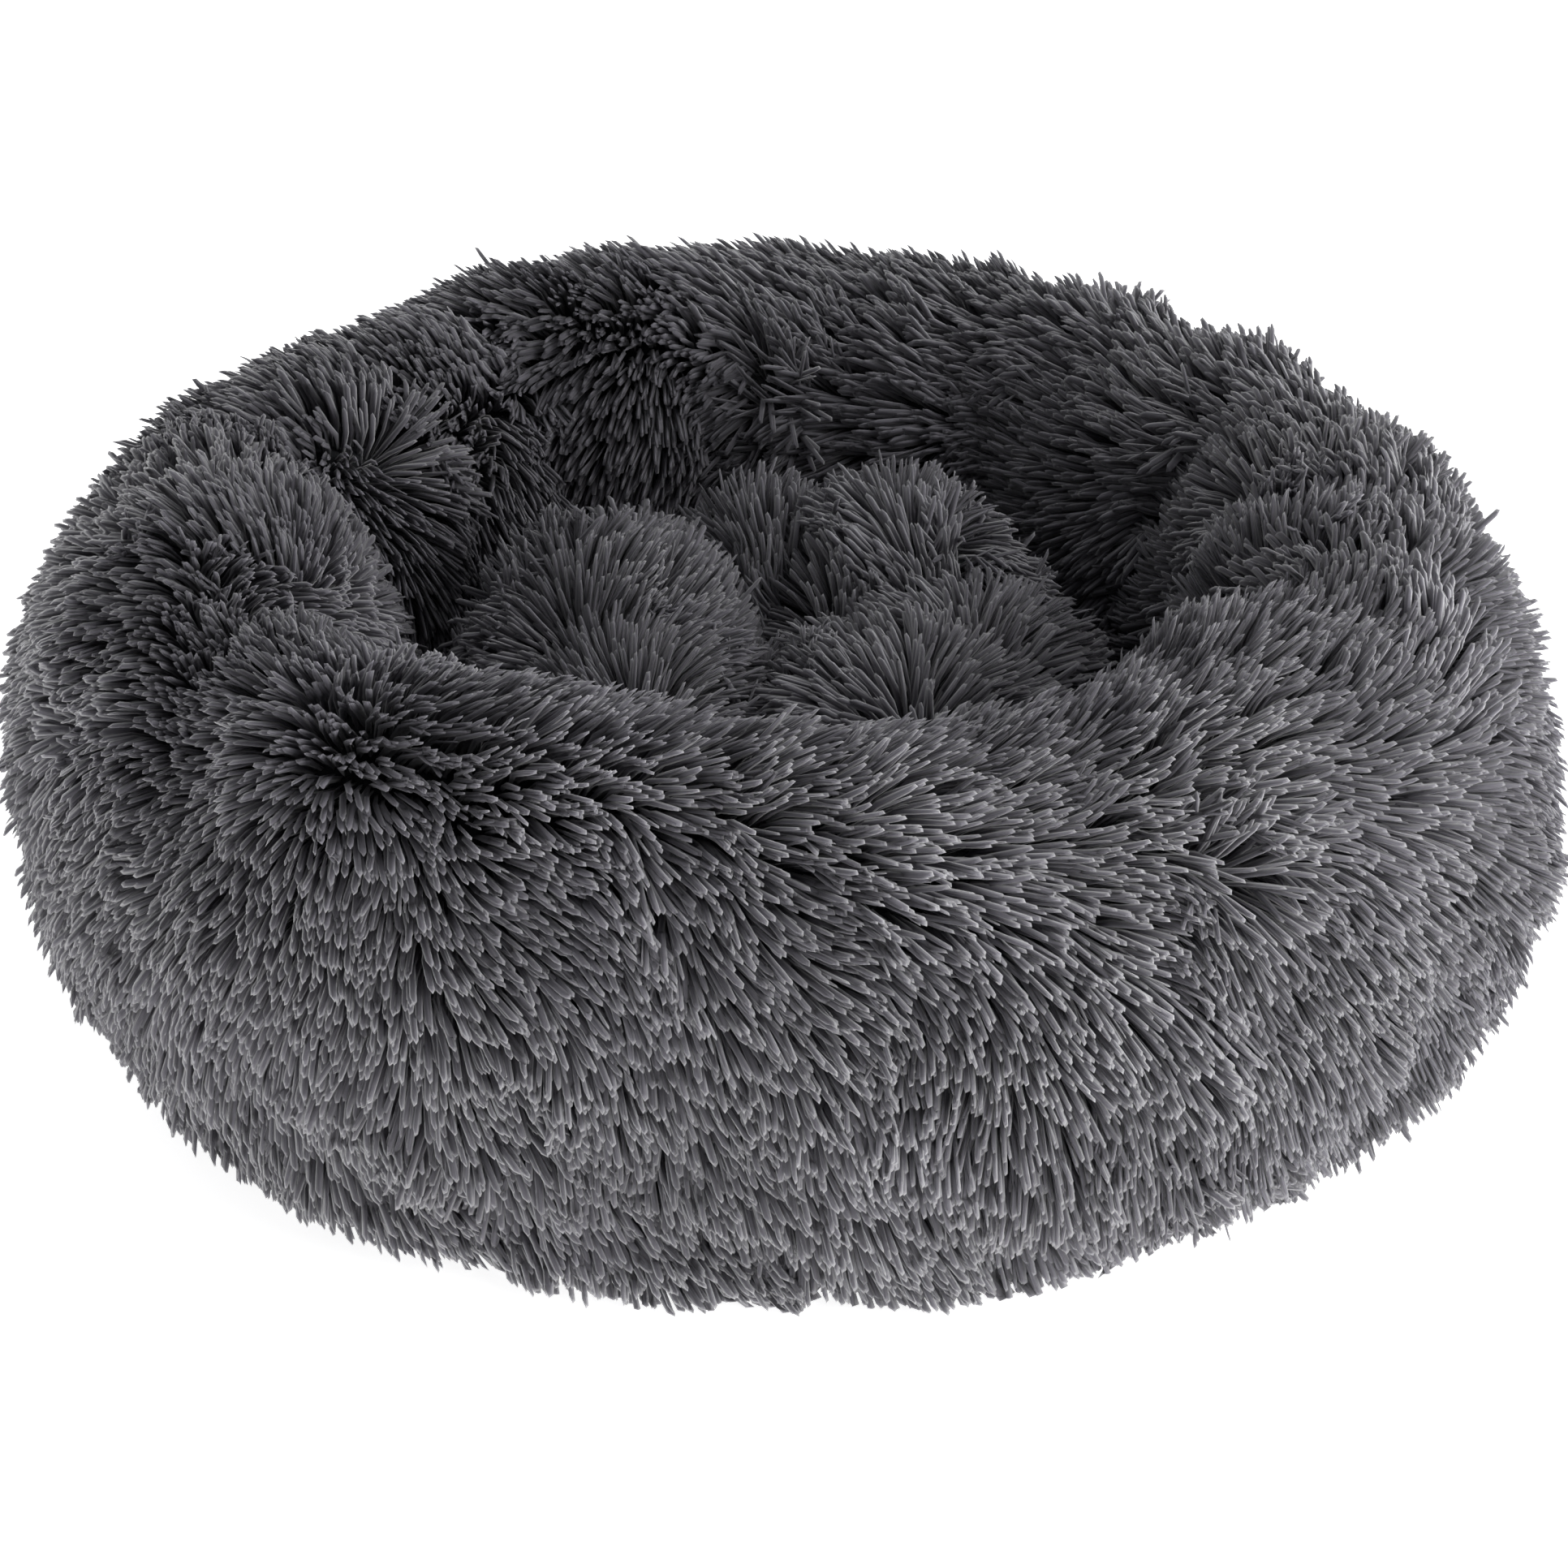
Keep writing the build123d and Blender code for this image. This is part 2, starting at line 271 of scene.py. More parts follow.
ring_skin = show(ring_tube(160, 48, 0.0, underside_open), "ring_skin")
place = np.array([v.co for v in ring_skin.data.vertices])
azimuth = np.degrees(np.arctan2(place[:, 1], place[:, 0]))
drawn_in = np.zeros(len(place))
for middle, half_width, _, _, _ in gathers:
    gap = np.abs((azimuth - middle + 180) % 360 - 180) / half_width
    drawn_in = np.maximum(drawn_in, 0.95 * np.clip(1 - gap, 0, 1))
edges_sewn = (place[:, 2] < 0.03).astype(float)
stuff(ring_skin, np.maximum(drawn_in, edges_sewn), stuffing_most)


def paint_set(name, base, rough):
    """A new material, its node tree and its Principled shader, with a base colour and roughness."""
    material = bpy.data.materials.new(name)
    material.use_nodes = True
    shader = material.node_tree.nodes["Principled BSDF"]
    shader.inputs["Base Color"].default_value = (*base, 1)
    shader.inputs["Roughness"].default_value = rough
    return material, material.node_tree, shader


def wire(tree, start, end):
    """Joins an output socket to an input socket."""
    tree.links.new(start, end)


def new_group(name, inputs, outputs):
    """A shader node group: inputs are (name, default), outputs are names."""
    group = bpy.data.node_groups.new(name, "ShaderNodeTree")
    for label, default in inputs:
        socket = group.interface.new_socket(label, in_out="INPUT", socket_type="NodeSocketFloat")
        socket.default_value = default
    for label in outputs:
        group.interface.new_socket(label, in_out="OUTPUT", socket_type="NodeSocketFloat")
    return group, group.nodes.new("NodeGroupInput"), group.nodes.new("NodeGroupOutput")


def maths(tree, operation, first, second=None):
    """A math node. Each operand is a socket or a number."""
    node = tree.nodes.new("ShaderNodeMath")
    node.operation = operation
    for socket, operand in zip(node.inputs, (first, second)):
        if operand is None:
            continue
        if hasattr(operand, "node"):
            wire(tree, operand, socket)
        else:
            socket.default_value = operand
    return node.outputs[0]


def spread(tree, value, low, high, from_low=0.0, from_high=1.0):
    """Maps a value between two limits to between two others."""
    node = tree.nodes.new("ShaderNodeMapRange")
    node.inputs["From Min"].default_value = from_low
    node.inputs["From Max"].default_value = from_high
    node.inputs["To Min"].default_value = low
    node.inputs["To Max"].default_value = high
    wire(tree, value, node.inputs["Value"])
    return node.outputs["Result"]


def shaded(tree, colour, shade, target):
    """Scales a colour by a value that changes over the surface, into the target socket."""
    node = tree.nodes.new("ShaderNodeVectorMath")
    node.operation = "SCALE"
    if hasattr(colour, "node"):
        wire(tree, colour, node.inputs[0])
    else:
        node.inputs[0].default_value = colour
    wire(tree, shade, node.inputs["Scale"])
    wire(tree, node.outputs[0], target)


def raised(tree, height, depth, shader, strength=1.0):
    """Bump from a height between 0 and 1, that many metres deep."""
    node = tree.nodes.new("ShaderNodeBump")
    node.inputs["Strength"].default_value = strength
    node.inputs["Distance"].default_value = depth
    wire(tree, height, node.inputs["Height"])
    wire(tree, node.outputs["Normal"], shader.inputs["Normal"])


# a tangle of short fibres, for felt, fleece and the knit that shows at the roots
group, given, put = new_group("tangled_fibre", [("Size", 0.004), ("Contrast", 0.4)], ["Height", "Shade"])
place_node = group.nodes.new("ShaderNodeTexCoord")
stretch = group.nodes.new("ShaderNodeVectorMath")
stretch.operation = "SCALE"
wire(group, place_node.outputs["Object"], stretch.inputs[0])
wire(group, maths(group, "DIVIDE", 1.0, given.outputs["Size"]), stretch.inputs["Scale"])
tangle = group.nodes.new("ShaderNodeTexNoise")
tangle.inputs["Scale"].default_value = 1.0
tangle.inputs["Detail"].default_value = 4.0
tangle.inputs["Distortion"].default_value = 1.6
wire(group, stretch.outputs[0], tangle.inputs["Vector"])
swing = maths(group, "SUBTRACT", tangle.outputs["Fac"], 0.5)
shade = maths(group, "ADD", maths(group, "MULTIPLY", swing, given.outputs["Contrast"]), 1.0)
wire(group, tangle.outputs["Fac"], put.inputs["Height"])
wire(group, shade, put.inputs["Shade"])
tangled_fibre = group


def fibre_cloth(name, colour, size, contrast, depth, rough=0.95):
    """A material of tangled fibre: felt, fleece, wadding or non-woven cloth."""
    material, tree, shader = paint_set(name, colour, rough)
    fibre = tree.nodes.new("ShaderNodeGroup")
    fibre.node_tree = tangled_fibre
    fibre.inputs["Size"].default_value = size
    fibre.inputs["Contrast"].default_value = contrast
    shaded(tree, colour, fibre.outputs["Shade"], shader.inputs["Base Color"])
    raised(tree, fibre.outputs["Height"], depth, shader)
    return material


# the knit is painted near black, darker than the pile's roots, as painted shade under the dense pile
knit = fibre_cloth("knitted_backing", (0.010, 0.011, 0.013), 0.0016, 1.2, 0.0004, rough=1.0)
skin_bm = bmesh.new()
skin_bm.from_mesh(ring_skin.data)
ring_tree = BVHTree.FromBMesh(skin_bm)
seam_side = Vector((-math.sin(seam_angle), math.cos(seam_angle), 0.0))
for hand, side in (("right", 1), ("left", -1)):
    half = skin_bm.copy()
    everything = half.verts[:] + half.edges[:] + half.faces[:]
    cut = {"plane_co": (0, 0, 0), "plane_no": seam_side * side, "clear_inner": True}
    bmesh.ops.bisect_plane(half, geom=everything, dist=1e-6, **cut)
    piece = show(half, f"ring_skin_{hand}")
    piece.data.materials.append(knit)
    backing = piece.modifiers.new("backing", "SOLIDIFY")
    backing.thickness = 0.0016
    backing.offset = -1
    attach(piece, "nest")
    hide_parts(f"ring_cover_{hand}")
skin_bm.free()
bpy.data.objects.remove(ring_skin)

# ---------------------------------------------------------------- ring pile
# The pile is soft polyester fibre that has clumped into blunt locks, most 2 to 3 mm
# thick, paler at the tip and darkened towards the root by painted shade deep in the pile. It is brushed
# round the ring.

# one lock, a unit long and a unit in radius: the heights of its rings and their radii
lock_sides = 3
lock_rings = (0.0, 0.06, 0.50, 0.92, 1.0)
lock_swell = (0.0, 0.70, 1.0, 0.86, 0.0)
lock_ridges = (1.10, 0.98, 0.88)
lock_flat = 0.95
tone_columns = 32

bm = bmesh.new()
lock_uv = bm.loops.layers.uv.new("OFBake")
grid = {"x_segments": lock_sides, "y_segments": len(lock_rings) - 1, "size": 0.5}
bmesh.ops.create_grid(bm, calc_uvs=True, **grid)
for v in bm.verts:
    ring = round((v.co.y + 0.5) * (len(lock_rings) - 1))
    column = round((v.co.x + 0.5) * lock_sides) % lock_sides
    turn = column / lock_sides * 2 * math.pi
    width = lock_swell[ring] * lock_ridges[column]
    ragged = 0.05 * math.cos(2.0 * column) if ring == len(lock_rings) - 2 else 0.0
    v.co = (width * math.cos(turn), width * math.sin(turn), lock_rings[ring] + ragged)
bmesh.ops.remove_doubles(bm, verts=bm.verts, dist=1e-5)
bmesh.ops.recalc_face_normals(bm, faces=bm.faces)
bm.verts.index_update()
lock_shape = np.array([v.co for v in bm.verts])
lock_faces = [[loop.vert.index for loop in face.loops] for face in bm.faces]
lock_map = np.array([loop[lock_uv].uv for face in bm.faces for loop in face.loops])
bm.free()


def drift(points, size, seed, waves=18):
    """A smooth random vector for each point, in patches about size across."""
    rng = np.random.default_rng(seed)
    heading = rng.normal(size=(waves, 3))
    heading /= np.linalg.norm(heading, axis=1, keepdims=True)
    heading *= 2 * np.pi / size * rng.uniform(0.5, 1.3, (waves, 1))
    phase = rng.uniform(0, 2 * np.pi, waves)
    share = rng.normal(size=(waves, 3)) * math.sqrt(2 / waves)
    return np.cos(points @ heading.T + phase) @ share


def unit(vectors):
    """The vectors, each one long."""
    return vectors / np.maximum(np.linalg.norm(vectors, axis=-1, keepdims=True), 1e-9)


root_depth = 0.001


def grow_pile(name, roots, normals, locks, lowest=None):
    """Stands a lock on each root: it leaves near the normal and leans over along its flow.

    Where lowest is given, a lock's middle stays above it, and its surface above a fifth of it.
    """
    flow, length, lean, width, tone = locks
    count = len(roots)
    along = unit(flow - normals * np.sum(flow * normals, axis=1, keepdims=True))
    across = np.cross(normals, along)
    steps = 8
    spine = [roots - normals * root_depth]
    heading = []
    for step in range(steps):
        tilt = lean[:, 0] + (lean[:, 1] - lean[:, 0]) * (step + 0.5) / steps
        way = normals * np.cos(tilt)[:, None] + along * np.sin(tilt)[:, None]
        heading.append(way)
        spine.append(spine[-1] + way * (length / steps)[:, None])
    spine = np.array(spine)
    heading = np.array([heading[0]] + heading)
    if lowest is not None:
        spine[..., 2] = np.maximum(spine[..., 2], lowest)
    where = np.clip(lock_shape[:, 2], 0, 1) * steps
    low = np.minimum(where.astype(int), steps - 1)
    part = (where - low)[:, None, None]
    middle = spine[low] * (1 - part) + spine[low + 1] * part
    lift = np.cross(heading[low + 1], across)
    sideways = lock_shape[:, 0][:, None, None] * width[None, :, None]
    outwards = lock_shape[:, 1][:, None, None] * width[None, :, None] * lock_flat
    points = (middle + across * sideways + lift * outwards).transpose(1, 0, 2)
    if lowest is not None:
        points[..., 2] = np.maximum(points[..., 2], 0.2 * lowest)
    corners = np.array([i for face in lock_faces for i in face])
    sizes = np.tile([len(face) for face in lock_faces], count)
    loops = (corners[None, :] + np.arange(count)[:, None] * len(lock_shape)).ravel()
    mesh = bpy.data.meshes.new(name)
    mesh.vertices.add(points.shape[0] * points.shape[1])
    mesh.vertices.foreach_set("co", points.astype(np.float32).ravel())
    mesh.loops.add(len(loops))
    mesh.loops.foreach_set("vertex_index", loops.astype(np.int32))
    mesh.polygons.add(len(sizes))
    mesh.polygons.foreach_set("loop_start", (np.cumsum(sizes) - sizes).astype(np.int32))
    mesh.polygons.foreach_set("loop_total", sizes.astype(np.int32))
    mesh.polygons.foreach_set("use_smooth", np.ones(len(sizes), bool))
    column = np.clip((tone * tone_columns).astype(int), 0, tone_columns - 1)
    across_map = (column[:, None] + 0.06 + 0.88 * lock_map[None, :, 0]) / tone_columns
    up_map = np.broadcast_to(0.01 + 0.98 * lock_map[None, :, 1], across_map.shape)
    unwrap = mesh.uv_layers.new(name="OFBake")
    unwrap.data.foreach_set("uv", np.stack([across_map, up_map], -1).astype(np.float32).ravel())
    mesh.update(calc_edges=True)
    piece = bpy.data.objects.new(name, mesh)
    bpy.context.scene.collection.objects.link(piece)
    return piece


def pile_material(name, root_colour, tip_colour):
    """Plush fibre: paler at the tip with painted shade at the root, a tone for each column of the map, and
    fine streaks along it.
    """
    material, tree, shader = paint_set(name, tip_colour, 0.75)
    where = tree.nodes.new("ShaderNodeUVMap")
    where.uv_map = "OFBake"
    split = tree.nodes.new("ShaderNodeSeparateXYZ")
    wire(tree, where.outputs["UV"], split.inputs[0])
    # along the lock, from the root's painted shade to the fibre's own colour at the tip
    fade = tree.nodes.new("ShaderNodeValToRGB")
    fade.color_ramp.elements[0].position = 0.12
    fade.color_ramp.elements[0].color = (*root_colour, 1)
    fade.color_ramp.elements[1].position = 1.0
    fade.color_ramp.elements[1].color = (*tip_colour, 1)
    body = fade.color_ramp.elements.new(0.60)
    body.color = (*(0.25 * r + 0.75 * t * 0.92 for r, t in zip(root_colour, tip_colour)), 1)
    wire(tree, split.outputs["Y"], fade.inputs["Fac"])
    # each column's tone scales the colour: random tone, and on the ring also painted light and shade
    column = maths(tree, "MULTIPLY", split.outputs["X"], tone_columns)
    tone = spread(tree, maths(tree, "FLOOR", column), 0.70, 1.30, 0.0, tone_columns - 1)
    stretch = tree.nodes.new("ShaderNodeCombineXYZ")
    wire(tree, maths(tree, "MULTIPLY", column, 11.0), stretch.inputs["X"])
    wire(tree, split.outputs["Y"], stretch.inputs["Y"])
    fibre = tree.nodes.new("ShaderNodeTexNoise")
    fibre.inputs["Scale"].default_value = 1.0
    fibre.inputs["Detail"].default_value = 3.0
    wire(tree, stretch.outputs[0], fibre.inputs["Vector"])
    streak = spread(tree, fibre.outputs["Fac"], 0.6, 1.4, 0.3, 0.7)
    shaded(tree, fade.outputs["Color"], maths(tree, "MULTIPLY", tone, streak), shader.inputs["Base Color"])
    raised(tree, fibre.outputs["Fac"], 0.0006, shader, 0.6)
    shader.inputs["Specular IOR Level"].default_value = 0.25
    shader.inputs["Subsurface Weight"].default_value = 0.85
    shader.inputs["Subsurface Radius"].default_value = (1.0, 1.0, 1.0)
    shader.inputs["Subsurface Scale"].default_value = 0.005
    shader.inputs["Sheen Weight"].default_value = 0.2
    shader.inputs["Sheen Roughness"].default_value = 0.4
    return material


plush = pile_material("slate_plush", (0.060, 0.058, 0.067), (0.129, 0.124, 0.142))

lock_spacing = 0.0029
row_gap = lock_spacing * math.sqrt(3) / 2
root_scatter = 0.24
thin_share = 0.12
thin_width = 0.5
tone_top = 0.999
pile_floor = 0.0018
turns = np.linspace(0, 2 * np.pi, 721)
oval = np.stack([np.cos(turns) * skin_half_width, np.sin(turns) * skin_half_height], -1)
run = np.concatenate([[0], np.cumsum(np.linalg.norm(np.diff(oval, axis=0), axis=1))])
outer_edge = -math.acos((base_seam_radius - ring_radius + 0.003) / skin_half_width)
inner_edge = math.pi + math.asin((ring_centre_height - floor_top - 0.003) / skin_half_height)
start = np.interp(outer_edge % (2 * np.pi), turns, run) - run[-1]
end = np.interp(inner_edge, turns, run)
rng = np.random.default_rng(7)
roots = []
normals = []
for row in np.arange(start, end, row_gap):
    around = np.interp(row % run[-1], run, turns)
    number = int(2 * math.pi * (ring_radius + math.cos(around) * skin_half_width) / lock_spacing)
    steps_round = np.arange(number) + rng.uniform() + rng.normal(0, root_scatter, number)
    azimuths = steps_round * 2 * math.pi / number
    arounds = around + rng.normal(0, root_scatter, number) * row_gap / skin_half_width
    aims = ring_points(azimuths, arounds)
    for azimuth, aim in zip(azimuths, aims):
        core = Vector((ring_radius * math.cos(azimuth), ring_radius * math.sin(azimuth), ring_centre_height))
        way = (Vector(aim) - core).normalized()
        spot, normal, _, _ = ring_tree.ray_cast(core, way)
        if spot is not None:
            roots.append(spot)
            normals.append(normal if normal.dot(way) > 0 else -normal)
roots = np.array(roots)
normals = unit(np.array(normals))
count = len(roots)
azimuth = np.arctan2(roots[:, 1], roots[:, 0])
degrees = np.degrees(azimuth)
height = roots[:, 2]
outward = np.stack([np.cos(azimuth), np.sin(azimuth), 0 * azimuth], -1)
round_way = np.stack([-np.sin(azimuth), np.cos(azimuth), 0 * azimuth], -1)
out = (np.hypot(roots[:, 0], roots[:, 1]) - ring_radius) / skin_half_width
up = (height - ring_centre_height) / skin_half_height
smooth_normal = outward * (out / skin_half_width)[:, None]
smooth_normal[:, 2] += up / skin_half_height
smooth_normal = unit(smooth_normal)


def near(middle, half_width):
    """How near each lock's azimuth is to one in degrees: 1 there, about a third at the half width."""
    gap = ((degrees - middle + 180) % 360 - 180) / half_width
    return np.exp(-gap * gap)


# places that the pile falls away from: dark openings, and two large mounds at the back left;
# azimuth and section angle in degrees, size in metres, strength
pockets = [
    (-57, 36, 0.015, 0.9),
    (-62, 10, 0.012, 0.9),
    (-68, 27, 0.014, 0.9),
    (-72, 12, 0.010, 0.9),
    (-131, 68, 0.014, 0.8),
    (-125, 15, 0.013, 0.9),
    (-155, 83, 0.020, 0.9),
    (-142, 87, 0.016, 0.9),
    (158, 123, 0.034, 2.2),
    (129, 125, 0.028, 1.8),
    (100, 123, 0.013, 1.0),
    (8, 120, 0.014, 0.9),
]

# the nap parts at the front left, runs round both ways and meets at the left
nap_parting = -139
nap_meeting = 172
round_share = np.tanh(((degrees - nap_parting) % 360) / 13) * np.tanh(((nap_meeting - degrees) % 360) / 14)
leftward = ((degrees - nap_meeting) % 360) < ((nap_parting - nap_meeting) % 360)
round_share = np.where(leftward, -round_share, round_share)
inner = np.clip(-out, 0, 1)
outer = np.clip(out, 0, 1)
# down the outer wall the pile hangs, more the lower it stands
fall_heights = [0.05, 0.124, 0.147, 0.163, 0.180, 0.188]
fall_shares = [5.0, 4.0, 1.9, 1.1, 0.3, 0.0]
fall = np.interp(height, fall_heights, fall_shares) * outer
fall *= 1 - 0.35 * near(-20, 45) - 0.6 * near(-108, 18) * (height > 0.12)
# on the wall of the well it hangs too, but rises near the crest; at the back it hangs further
fall -= inner * np.clip(2.0 * (up - 0.62), -0.45, 0.55)
fall += inner * (1.3 * near(112, 24))
# where the pile stands on end, near the crest
upright = 1.0 * near(214, 18) + 0.5 * near(185, 18) + 0.25 * near(140, 40) + 0.3 * near(5, 28)
upright = np.clip(upright, 0, 1)
upright *= np.clip(up + 0.35, 0, 1)
flow = round_way * (round_share * (1 - 0.45 * upright))[:, None]
flow[:, 2] -= fall
flow += outward * ((0.22 - 0.7 * near(-108, 20)) * np.clip(up, 0, 1) ** 4)[:, None]
flow += (normals - smooth_normal) * (1.6 + 2.0 * upright)[:, None]
flow[:, 1] -= 1.1 * upright
open_up = np.zeros(count)
for middle, around, size, strength in pockets:
    centre = ring_points(np.float64(math.radians(middle)), np.float64(math.radians(around)))
    away = roots - centre
    share = np.exp(-((np.linalg.norm(away, axis=1) / size) ** 2))
    flow += away * (1.8 * strength / size * share)[:, None]
    open_up = np.maximum(open_up, share)
# the flow wanders in patches from 100 mm down to 10 mm across, and a little from lock to lock
flow = unit(flow) + drift(roots, 0.10, 11) * 0.20
flow += drift(roots, 0.032, 12) * (0.17 + 0.25 * upright)[:, None]
flow += drift(roots, 0.016, 17) * (0.25 * open_up)[:, None]
flow += drift(roots, 0.010, 16) * 0.13 + rng.normal(size=(count, 3)) * 0.08
ring_lock_length = 0.0285
ring_lock_half_width = 0.00130
length = ring_lock_length * (1 + 0.08 * drift(roots, 0.05, 13)[:, 0] + rng.normal(0, 0.08, count))
length = np.clip(length * (1 - 0.18 * upright), 0.018, 0.036)
# the angle from the normal in radians, at the root and at the tip
lean = np.stack([rng.normal(0.38, 0.08, count), rng.normal(1.25, 0.11, count)], -1)
lean += 0.13 * drift(roots, 0.045, 14)[:, :1]
lean -= upright[:, None] * np.array([0.2, 0.5]) + open_up[:, None] * np.array([0.1, 0.25])
lean = np.clip(lean, 0.03, 1.42)
width = ring_lock_half_width * (1 + rng.normal(0, 0.16, count))
width = width * np.where(rng.uniform(size=count) < thin_share, thin_width, 1.0)
# the tone of each lock's fibre, from 0 dark to 1 pale, with painted light and shade in it: in the well it is
# darker at the back left as painted shade and paler at the back right as painted light, and the right side
# of the ring is paler as painted light
tone = 0.5 - 0.5 * inner * near(120, 45) + 0.30 * inner * near(30, 40) + 0.12 * near(-8, 42)
# the crest at the front left is paler as painted light
tone = tone + 0.2 * near(-108, 14) * (up > 0.6)
# and the tone differs at random, in patches and from lock to lock
tone = tone + 0.10 * drift(roots, 0.06, 15)[:, 0] + rng.normal(0, 0.08, count)
tone = np.clip(tone, 0, tone_top)

parts_per_half = 5
for hand, first in (("right", seam_angle), ("left", seam_angle + math.pi)):
    for part in range(parts_per_half):
        low = first + part * math.pi / parts_per_half
        mine = ((azimuth - low) % (2 * math.pi)) < math.pi / parts_per_half
        locks = (flow[mine], length[mine], lean[mine], width[mine], tone[mine])
        name = f"ring_pile_{hand}_{part + 1}"
        piece = grow_pile(name, roots[mine], normals[mine], locks, lowest=pile_floor)
        piece.data.materials.append(plush)
        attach(piece, "nest")

# ---------------------------------------------------------------- ring lining and filling
# Inside the cover a thin tube of white non-woven cloth holds loose polyester
# fibre. Both follow the cover's gathers, and lie flat over the base.

lining_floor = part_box("ring_lining")[0][2]
nonwoven = fibre_cloth("white_nonwoven", (0.72, 0.72, 0.70), 0.0022, 0.35, 0.0002)
fleece = fibre_cloth("loose_white_fibre", (0.80, 0.80, 0.78), 0.012, 0.5, 0.003)
# node, inset from the skin, height above the lining's underside, material and slot
inside = (
    ("ring_lining", 0.0035, 0.0, nonwoven, "lining_cloth"),
    ("ring_filling", 0.0055, 0.0015, fleece, "filling"),
)
for node, inset, above, material, slot_name in inside:
    bm = ring_tube(96, 36, inset)
    for v in bm.verts:
        v.co.z = max(v.co.z, lining_floor + above)
    piece = show(bm, node + "_shape")
    piece.data.materials.append(material)
    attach(piece, "nest")
    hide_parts(node)

# ---------------------------------------------------------------- cushion covers
# The cushion is a round bag, plush above and plain woven cloth below, stuffed
# full. A waxed tie draws its middle down, and creases run out from it.

cushion_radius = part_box("cushion_bottom_cover")[1][0] + 0.0005
cushion_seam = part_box("cushion_top_cover")[0][2]
cushion_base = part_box("cushion_bottom_cover")[0][2]
cushion_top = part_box("cushion_top_cover")[1][2] - pile_length
cushion_core = Vector((0.0, 0.0, 0.5 * (cushion_base + cushion_top) - 0.008))

# creases of the top: azimuth in degrees, half width, depth and the radius where they fade out
creases = [
    (116, 0.016, 0.020, 0.125),
    (18, 0.014, 0.015, 0.125),
    (262, 0.018, 0.016, 0.110),
    (-24, 0.009, 0.006, 0.125),
    (80, 0.010, 0.008, 0.115),
    (195, 0.012, 0.005, 0.080),
]
# lobes of the top: azimuth in degrees, distance out, half width, height
lobes = [
    (161, 0.086, 0.050, 0.027),
    (50, 0.092, 0.046, 0.031),
    (-42, 0.078, 0.044, 0.012),
    (-6, 0.098, 0.030, 0.012),
    (99, 0.094, 0.032, 0.020),
    (225, 0.084, 0.034, 0.010),
]


def cushion_points(azimuth, polar, inset=0.0):
    """Points of the stuffed cushion, by azimuth and the angle from straight up."""
    side = np.abs(np.sin(polar))
    rise = np.cos(polar)
    radius = (cushion_radius - inset) * side ** 0.72
    above = (cushion_top - inset - cushion_seam) * np.abs(rise) ** 0.55
    below = (cushion_seam - cushion_base - inset) * np.abs(rise) ** 0.62
    tuft = 0.020 * np.exp(-((radius / 0.024) ** 2))
    for middle, half_width, depth, fade in creases:
        gap = turn_gap(azimuth, math.radians(middle))
        beside = radius * np.sin(np.clip(np.abs(gap), 0, math.pi / 2)) / half_width
        reach = np.clip(radius / 0.03, 0, 1) / (1 + np.exp((radius - fade) / 0.012))
        tuft = tuft + depth * np.exp(-beside * beside) * reach * (np.abs(gap) < 1.5)
    for middle, distance, half_width, lift in lobes:
        reach = np.hypot(
            radius * np.cos(azimuth) - distance * math.cos(math.radians(middle)),
            radius * np.sin(azimuth) - distance * math.sin(math.radians(middle)),
        )
        tuft = tuft - lift * np.exp(-((reach / half_width) ** 2))
    recess = 0.004 * np.clip((0.036 - radius) / 0.022, 0, 1)
    upper = cushion_seam + above - tuft * np.clip(above / 0.03, 0, 1)
    lower = cushion_seam - below + recess
    height = np.where(rise > 0, upper, lower)
    return np.stack([radius * np.cos(azimuth), radius * np.sin(azimuth), height], -1)


def cushion_body(steps, rings, inset):
    """The whole stuffed cushion as one closed skin at that inset."""
    bm = bmesh.new()
    bmesh.ops.create_uvsphere(bm, u_segments=steps, v_segments=rings, radius=1.0)
    place = np.array([v.co for v in bm.verts])
    azimuth = np.arctan2(place[:, 1], place[:, 0])
    polar = np.arccos(np.clip(place[:, 2], -1, 1))
    polar = np.where(np.abs(polar - np.pi / 2) < 1e-4, np.pi / 2 - 1e-6, polar)
    for v, point in zip(bm.verts, cushion_points(azimuth, polar, inset)):
        v.co = point
    bmesh.ops.recalc_face_normals(bm, faces=bm.faces)
    return bm


cushion_skin = show(cushion_body(108, 60, 0.0), "cushion_skin")
place = np.array([v.co for v in cushion_skin.data.vertices])
azimuth = np.arctan2(place[:, 1], place[:, 0])
radius = np.hypot(place[:, 0], place[:, 1])
seam_or_under = (place[:, 2] < cushion_seam + 0.004).astype(float)
tied = np.exp(-((radius / 0.02) ** 2))
for middle, half_width, _, fade in creases[:3]:
    beside = radius * np.sin(np.clip(np.abs(turn_gap(azimuth, math.radians(middle))), 0, 1.57))
    tied = np.maximum(tied, 0.9 * np.exp(-((beside / half_width * 2) ** 2)) * (radius < fade))
stuff(cushion_skin, np.maximum(seam_or_under, np.where(tied > 0.1, tied, 0)), stuffing_most)

# plain weave: over and under threads in both directions, in the object's own coordinates
group, given, put = new_group("plain_weave", [("Threads per metre", 900.0)], ["Height", "Shade"])
place_node = group.nodes.new("ShaderNodeTexCoord")
split = group.nodes.new("ShaderNodeSeparateXYZ")
wire(group, place_node.outputs["Object"], split.inputs[0])
turn_per_thread = maths(group, "MULTIPLY", given.outputs["Threads per metre"], math.pi)
warp = maths(group, "SINE", maths(group, "MULTIPLY", split.outputs["X"], turn_per_thread))
weft = maths(group, "SINE", maths(group, "MULTIPLY", split.outputs["Y"], turn_per_thread))
cross = maths(group, "MULTIPLY", warp, weft)
uneven = group.nodes.new("ShaderNodeTexNoise")
uneven.inputs["Scale"].default_value = 260.0
uneven.inputs["Detail"].default_value = 2.0
wire(group, place_node.outputs["Object"], uneven.inputs["Vector"])
